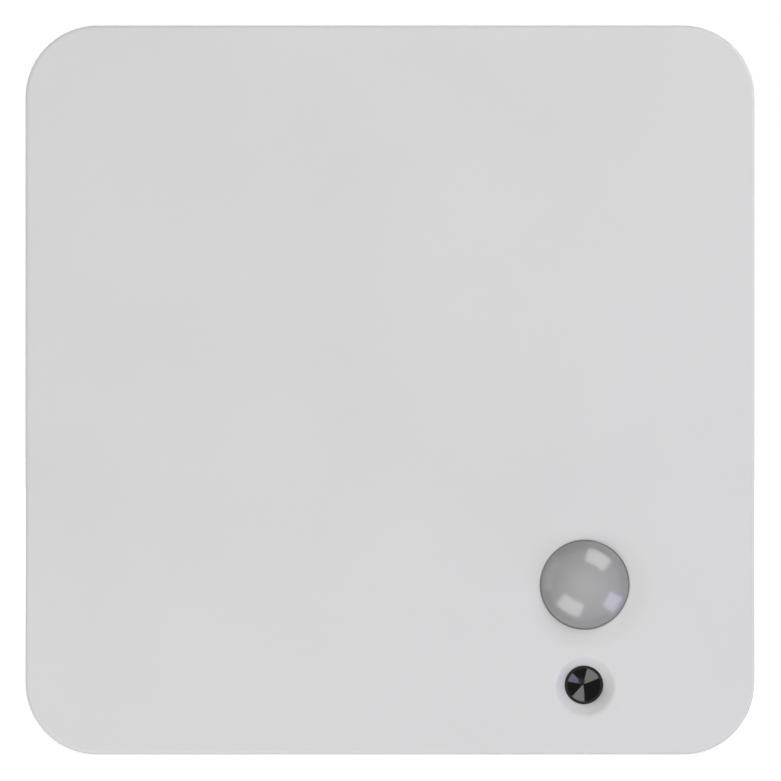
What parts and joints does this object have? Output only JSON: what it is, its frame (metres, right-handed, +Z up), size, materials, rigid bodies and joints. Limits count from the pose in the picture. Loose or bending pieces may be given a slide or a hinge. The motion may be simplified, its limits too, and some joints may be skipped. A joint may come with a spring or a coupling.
{
  "type": "occupancy sensor",
  "caption": "Square battery-powered wall sensor: its cover has a dished dome lens and a recessed light guide, and snaps over a flat back plate.",
  "frame": {"origin": "middle of the back plate's face that lies on the wall", "axes": "+X to the right as seen from the front, +Z up, +Y into the wall; the front looks along -Y"},
  "size_m": [0.086, 0.028, 0.086],
  "materials": {
    "housing_plastic": "fine matte texture, neutral white-grey",
    "plate_plastic": "plain moulded, neutral white-grey",
    "lens_plastic": "milky polyethylene, polished",
    "guide_plastic": "black, polished",
    "board_laminate": "green solder mask on glass laminate",
    "screw_steel": "zinc plated",
    "holder_plastic": "black moulded",
    "contact_nickel": "nickel-plated spring steel",
    "cell_metal": null,
    "can_steel": "nickel-plated sheet",
    "window_silicon": "dark coated silicon filter",
    "lead_gold": "gold-plated wire",
    "clear_package": "clear epoxy",
    "switch_plastic": "black",
    "button_plastic": "light grey",
    "chip_ceramic": "fired ceramic with tinned ends",
    "package_epoxy": "black moulding compound",
    "capacitor_aluminium": "bright rolled can"
  },
  "bodies": {
    "back_plate": {"back_plate": "plate_plastic"},
    "sensor_unit": {"front_cover": "housing_plastic", "lens_dome": "lens_plastic", "light_guide": "guide_plastic", "circuit_board": "board_laminate", "radio_module": "board_laminate", "board_screws": "screw_steel", "battery_holder": "holder_plastic", "positive_contact": "contact_nickel", "negative_contact": "contact_nickel", "bridge_contact": "contact_nickel", "upper_spring": "contact_nickel", "lower_spring": "contact_nickel", "pir_can": "can_steel", "pir_base": "can_steel", "pir_window": "window_silicon", "pir_leads": "lead_gold", "light_sensor": "clear_package", "status_light": "clear_package", "switch_body": "switch_plastic", "radio_shield": "can_steel", "radio_antenna": "chip_ceramic", "climate_sensor": "package_epoxy", "controller_chip": "package_epoxy", "amplifier_chip": "package_epoxy", "clock_crystal": "can_steel", "passive_chips": "chip_ceramic", "capacitor_can": "capacitor_aluminium", "capacitor_base": "package_epoxy"},
    "upper_cell": {"upper_battery": "cell_metal"},
    "lower_cell": {"lower_battery": "cell_metal"},
    "service_button": {"service_button": "button_plastic"}
  },
  "joints": [
    {"name": "unit_pull_off", "type": "slide", "parent": "back_plate", "child": "sensor_unit", "axis": [0, -1, 0], "range_m": [0, 0.06]},
    {"name": "upper_cell_push", "type": "slide", "parent": "sensor_unit", "child": "upper_cell", "axis": [-1, 0, 0], "range_m": [0, 0.0012], "stiffness_N_per_m": 800, "springref_m": -0.0015, "deforming": ["upper_spring"]},
    {"name": "lower_cell_push", "type": "slide", "parent": "sensor_unit", "child": "lower_cell", "axis": [1, 0, 0], "range_m": [0, 0.0012], "stiffness_N_per_m": 800, "springref_m": -0.0015, "deforming": ["lower_spring"]},
    {"name": "button_press", "type": "slide", "parent": "sensor_unit", "child": "service_button", "axis": [0, -1, 0], "range_m": [0, 0.00025], "stiffness_N_per_m": 2000, "springref_m": -0.00005}
  ]
}
